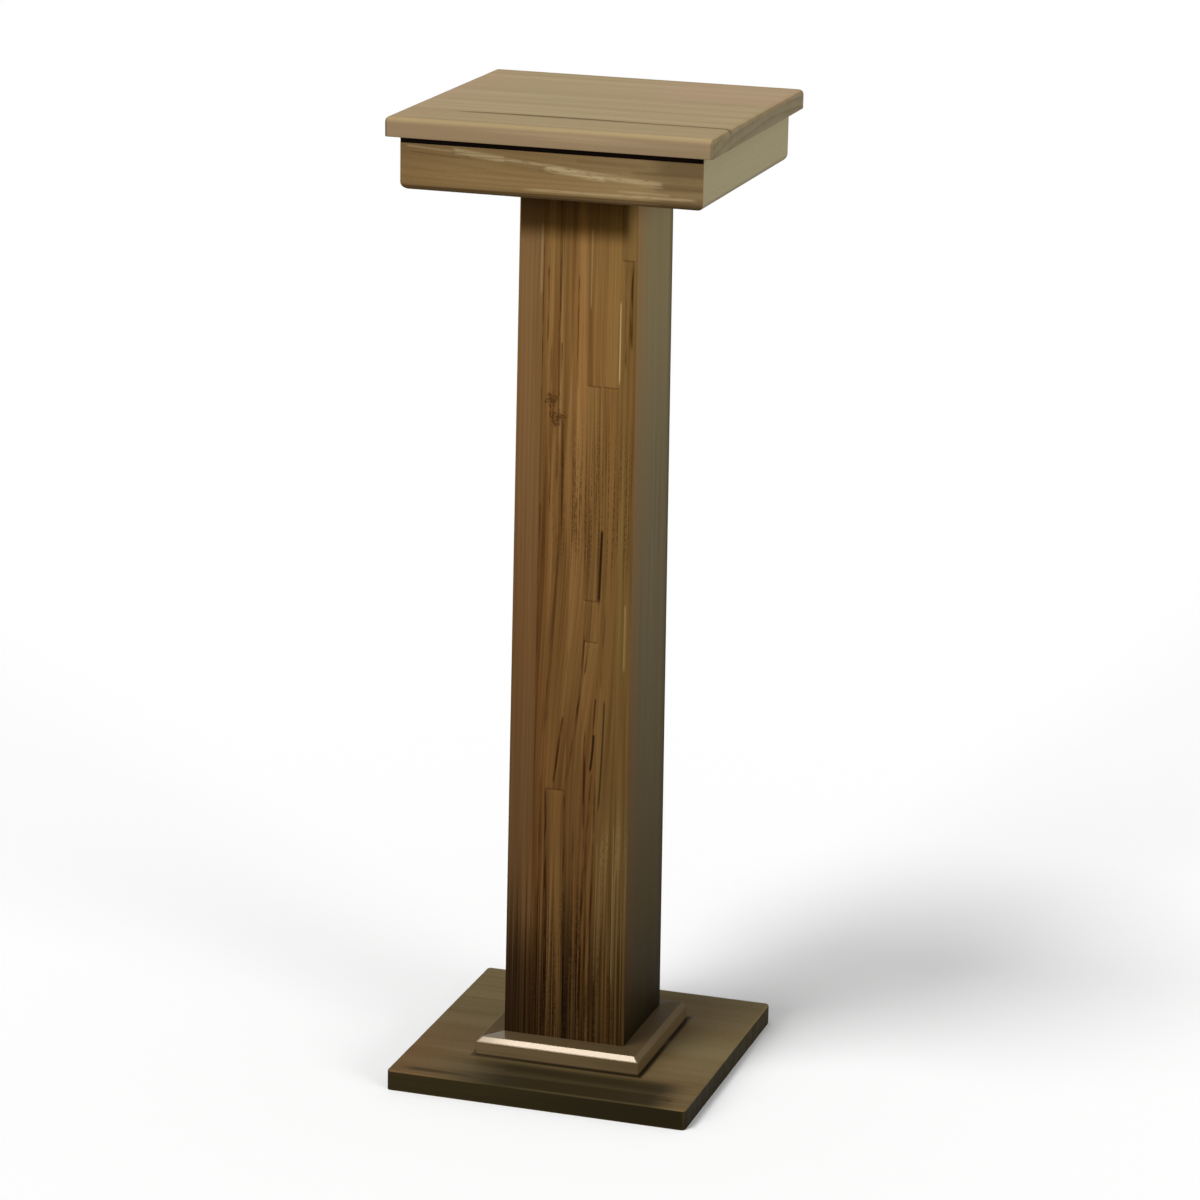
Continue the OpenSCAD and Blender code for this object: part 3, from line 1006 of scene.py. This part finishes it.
def top_stain():
    material, tree, place, figure = new_wood("Pale brown stain", 120, 0.10)
    x, y, z = add(tree, "ShaderNodeSeparateXYZ", {0: place}).outputs
    low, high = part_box("top_board")
    share = grain_share(tree, figure, 0.16, 0.2, 0.36)
    colour = tint(tree, share, shade(161, 141, 103), shade(141, 120, 83))
    plank = calc(tree, "FLOOR", calc(tree, "DIVIDE", calc(tree, "SUBTRACT", y, low[1]), PLANK))
    number = add(tree, "ShaderNodeTexWhiteNoise", {"W": plank}, noise_dimensions="1D").outputs["Value"]
    colour = tint(tree, times(tree, number, 0.35), colour, shade(150, 132, 96))
    blush = times(tree, span(tree, x, 0.0, 0.06), span(tree, y, 0.0, 0.07))
    blush = calc(tree, "MAXIMUM", blush, span(tree, x, -0.1, -0.15))
    blush = times(tree, blush, span(tree, figure["Patch"], -0.2, 0.9, 0.2, 0.8))
    colour = tint(tree, blush, colour, shade(160, 133, 102))
    faint = streaks(tree, x, y, TOP_STREAKS)
    colour = tint(tree, times(tree, faint, 0.6), colour, shade(122, 102, 74))
    seam = streaks(tree, x, y, TOP_SEAMS)
    colour = tint(tree, times(tree, seam, 0.85), colour, shade(70, 50, 28))
    near_the_front = span(tree, y, low[1] + 6.5 * MM, low[1] + 0.5 * MM)
    front_edge = times(tree, near_the_front, span(tree, z, high[2] - 1.5 * MM, high[2] - 6 * MM))
    streak = span(tree, figure["Streak"], 0.1, 0.9)
    front_figure = tint(tree, streak, shade(158, 136, 106), shade(139, 117, 88))
    front_figure = tint(tree, span(tree, x, 0.0, 0.13, 0.0, 0.6), front_figure, shade(134, 114, 86))
    colour = tint(tree, front_edge, colour, front_figure)
    upright = mark(tree, "upright").outputs["Fac"]
    end = times(tree, mark(tree, "end").outputs["Fac"], upright)
    end_grain = tint(tree, figure["Ring"], shade(122, 110, 80), shade(114, 101, 72))
    colour = tint(tree, span(tree, end, 0.35, 0.9), colour, end_grain)
    arris = times(tree, span(tree, end, 0.06, 0.3), span(tree, end, 0.75, 0.4))
    colour = tint(tree, times(tree, arris, 0.5), colour, shade(92, 78, 50))
    colour = tint(tree, times(tree, figure["Pore"], 0.12), colour, shade(96, 78, 52))
    height = calc(tree, "SUBTRACT", 1.0, calc(tree, "MULTIPLY_ADD", figure["Pore"], 0.3, share))
    height = calc(tree, "SUBTRACT", height, times(tree, seam, 0.8))
    varnish(tree, colour, height, relief=0.15 * MM, gloss=0.06)
    return material


top_board = square_board("top_board", TOP_CORNER, TOP_ARRIS, 0.35 * MM)
finish_piece(top_board, "top_board", top_stain())


# ------------------------------------------------- room, lamps and camera
# The stand is on a plain pale floor in a white room. A lamp high at the front left
# catches the bevel of the front moulding; softer ones fill the front and the right.
FLOOR_RADIUS = 14.0
FLOOR_POINTS = 96


def pale_floor():
    angles = [math.tau * i / FLOOR_POINTS for i in range(FLOOR_POINTS)]
    edge = [(FLOOR_RADIUS * math.cos(a), FLOOR_RADIUS * math.sin(a), 0.0) for a in angles]
    mesh = bpy.data.meshes.new("floor")
    mesh.from_pydata(edge, [], [tuple(range(FLOOR_POINTS))])
    material = bpy.data.materials.new("Pale floor")
    material.use_nodes = True
    tree = material.node_tree
    tree.nodes.clear()
    seen = seen_directly(tree)
    colour = tint(tree, seen, (0.3, 0.3, 0.3, 1), (1, 1, 1, 1))
    paint = add(tree, "ShaderNodeBsdfDiffuse", {"Color": colour})
    add(tree, "ShaderNodeOutputMaterial", {"Surface": paint.outputs[0]})
    mesh.materials.append(material)
    floor = bpy.data.objects.new("floor", mesh)
    bpy.context.scene.collection.objects.link(floor)


def seen_directly(tree):
    """1 where the camera sees a surface straight, or in a gloss or through glass; else 0."""
    path = add(tree, "ShaderNodeLightPath").outputs
    either = calc(tree, "MAXIMUM", path["Is Camera Ray"], path["Is Glossy Ray"])
    return calc(tree, "MAXIMUM", either, path["Is Transmission Ray"])


def white_room(light):
    world = bpy.data.worlds.new("White room")
    bpy.context.scene.world = world
    world.use_nodes = True
    tree = world.node_tree
    tree.nodes.clear()
    seen = seen_directly(tree)
    strength = calc(tree, "MULTIPLY_ADD", seen, 1.0 - light, light)
    sky = add(tree, "ShaderNodeBackground", {"Color": (1, 1, 1, 1), "Strength": strength})
    add(tree, "ShaderNodeOutputWorld", {"Surface": sky.outputs[0]})


def lamp(name, towards, level, degrees):
    """A wide, even lamp. A white surface square on to it renders at level."""
    light = bpy.data.lights.new(name, "SUN")
    light.energy = level * math.pi
    light.angle = math.radians(degrees)
    stand = bpy.data.objects.new(name, light)
    stand.rotation_euler = Vector(towards).to_track_quat("Z", "Y").to_euler()
    bpy.context.scene.collection.objects.link(stand)


pale_floor()
white_room(0.38)
lamp("high front left", (-0.284, -0.369, 0.886), 0.45, 20)
lamp("front left", (-0.35, -0.87, 0.34), 0.39, 24)
lamp("right", (0.86, -0.49, 0.16), 0.54, 30)

camera = bpy.data.objects.new("camera", bpy.data.cameras.new("camera"))
bpy.context.scene.collection.objects.link(camera)
bpy.context.scene.camera = camera
camera.data.lens = 130.13
camera.data.sensor_width = 36.0
heading = Matrix.Rotation(math.radians(17.323), 4, "Z")
tilt = Matrix.Rotation(math.radians(90 - 15.710), 4, "X")
lean = Matrix.Rotation(math.radians(1.081), 4, "Z")
camera.matrix_world = Matrix.Translation((1.1593, -3.6868, 1.5384)) @ heading @ tilt @ lean

bpy.context.scene.view_settings.view_transform = "Standard"
